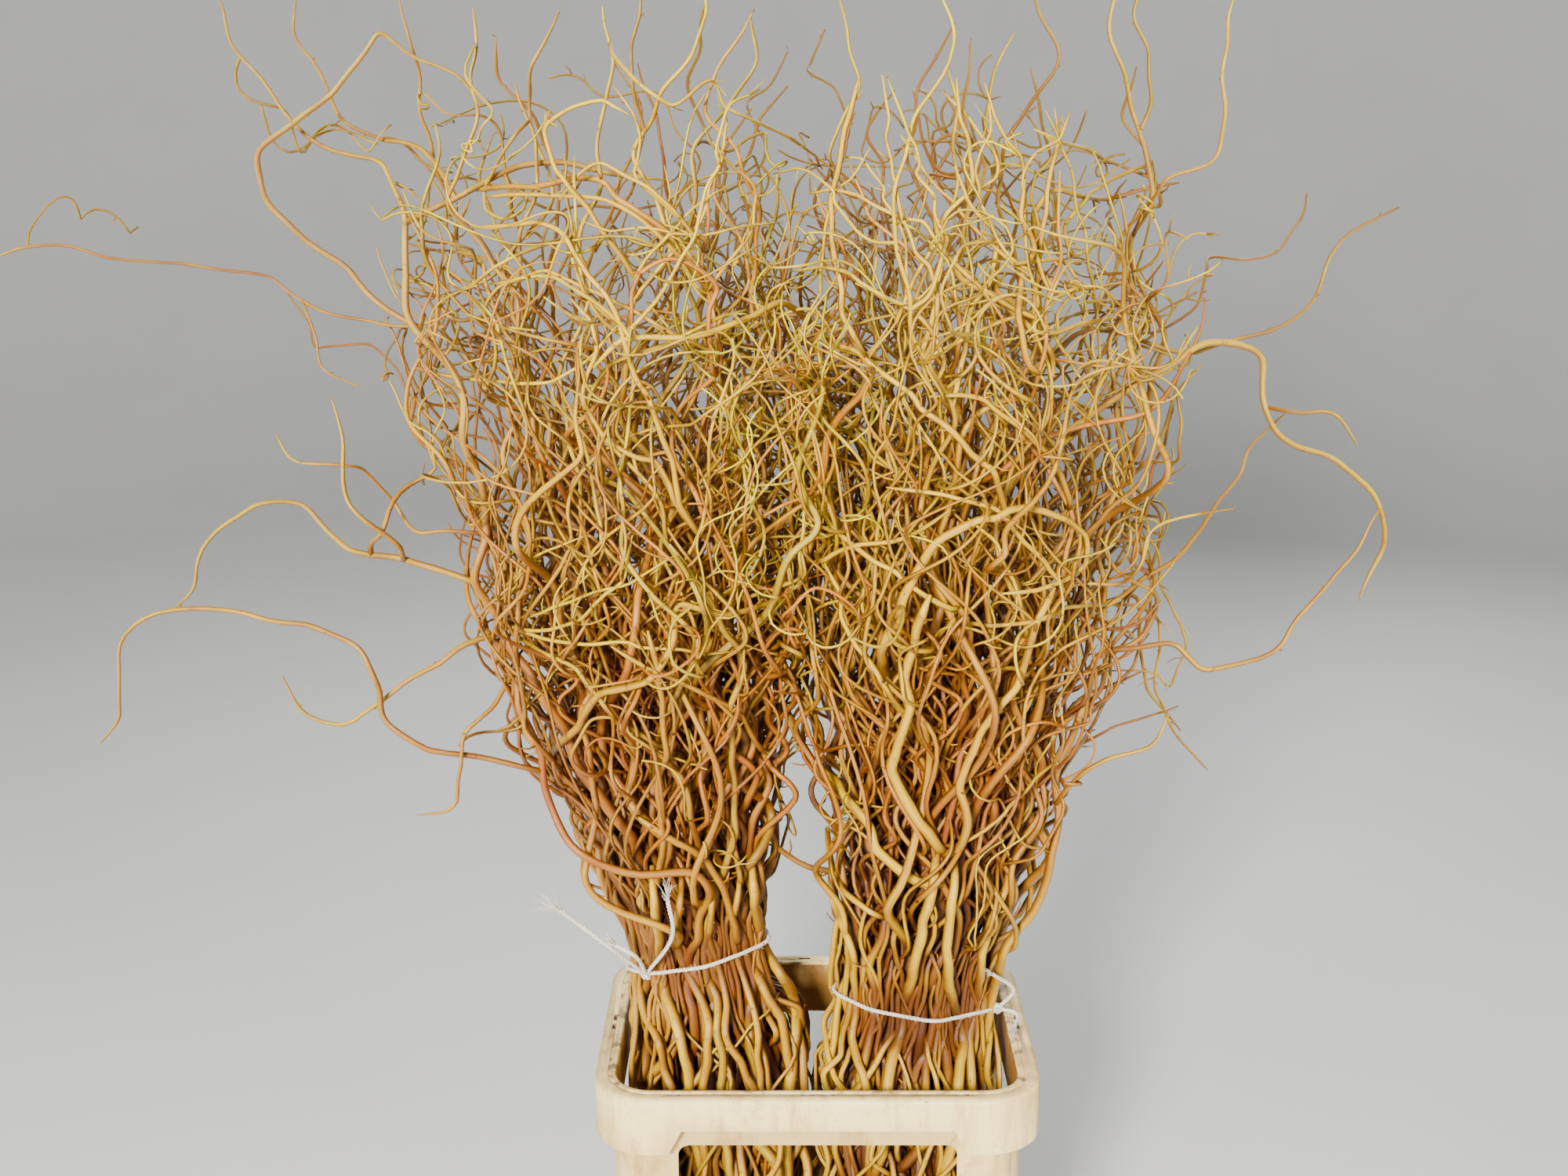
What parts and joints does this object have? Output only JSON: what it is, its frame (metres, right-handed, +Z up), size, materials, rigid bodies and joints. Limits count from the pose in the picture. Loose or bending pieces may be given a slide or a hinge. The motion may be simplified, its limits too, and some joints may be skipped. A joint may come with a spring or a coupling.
{
  "type": "curly willow branches in a flower container",
  "caption": "Two string-tied bunches of cut curly willow stems with curling twigs, standing in an open-topped plastic flower container whose collar has windows in its sides.",
  "frame": {"origin": "centre of the container's flat underside", "axes": "+Z up along the stems, +X along the container's long side, front of the container towards -Y"},
  "size_m": [1.19, 0.8041, 1.4502],
  "materials": {
    "plastic": "off-white moulded plastic, scuffed and slightly dirty",
    "string": "undyed twisted string, frayed at its cut ends",
    "bark_golden": "smooth golden yellow bark, slightly glossy",
    "bark_orange": "smooth orange-brown bark, slightly glossy",
    "bark_olive": "smooth olive-brown bark, slightly glossy"
  },
  "bodies": {
    "root": {"holder_base": "plastic", "holder_collar": "plastic", "tie_left": "string", "tie_right": "string", "willow_left_01": "bark_golden", "willow_left_02": "bark_orange", "willow_left_03": "bark_golden", "willow_left_04": "bark_olive", "willow_left_05": "bark_orange", "willow_left_06": "bark_golden", "willow_left_07": "bark_orange", "willow_left_08": "bark_golden", "willow_left_09": "bark_olive", "willow_left_10": "bark_orange", "willow_left_11": "bark_golden", "willow_left_12": "bark_orange", "willow_left_13": "bark_golden", "willow_left_14": "bark_olive", "willow_left_15": "bark_orange", "willow_left_16": "bark_golden", "willow_left_17": "bark_orange", "willow_left_18": "bark_golden", "willow_left_19": "bark_olive", "willow_left_20": "bark_orange", "willow_left_21": "bark_golden", "willow_left_22": "bark_orange", "willow_left_23": "bark_golden", "willow_left_24": "bark_olive", "willow_left_25": "bark_orange", "willow_left_26": "bark_golden", "willow_left_27": "bark_orange", "willow_left_28": "bark_golden", "willow_right_01": "bark_golden", "willow_right_02": "bark_orange", "willow_right_03": "bark_golden", "willow_right_04": "bark_olive", "willow_right_05": "bark_orange", "willow_right_06": "bark_golden", "willow_right_07": "bark_orange", "willow_right_08": "bark_golden", "willow_right_09": "bark_olive", "willow_right_10": "bark_orange", "willow_right_11": "bark_golden", "willow_right_12": "bark_orange", "willow_right_13": "bark_golden", "willow_right_14": "bark_olive", "willow_right_15": "bark_orange", "willow_right_16": "bark_golden", "willow_right_17": "bark_orange", "willow_right_18": "bark_golden", "willow_right_19": "bark_olive", "willow_right_20": "bark_orange", "willow_right_21": "bark_golden", "willow_right_22": "bark_orange", "willow_right_23": "bark_golden", "willow_right_24": "bark_olive", "willow_right_25": "bark_orange", "willow_right_26": "bark_golden", "willow_right_27": "bark_orange", "willow_right_28": "bark_golden"}
  },
  "joints": []
}
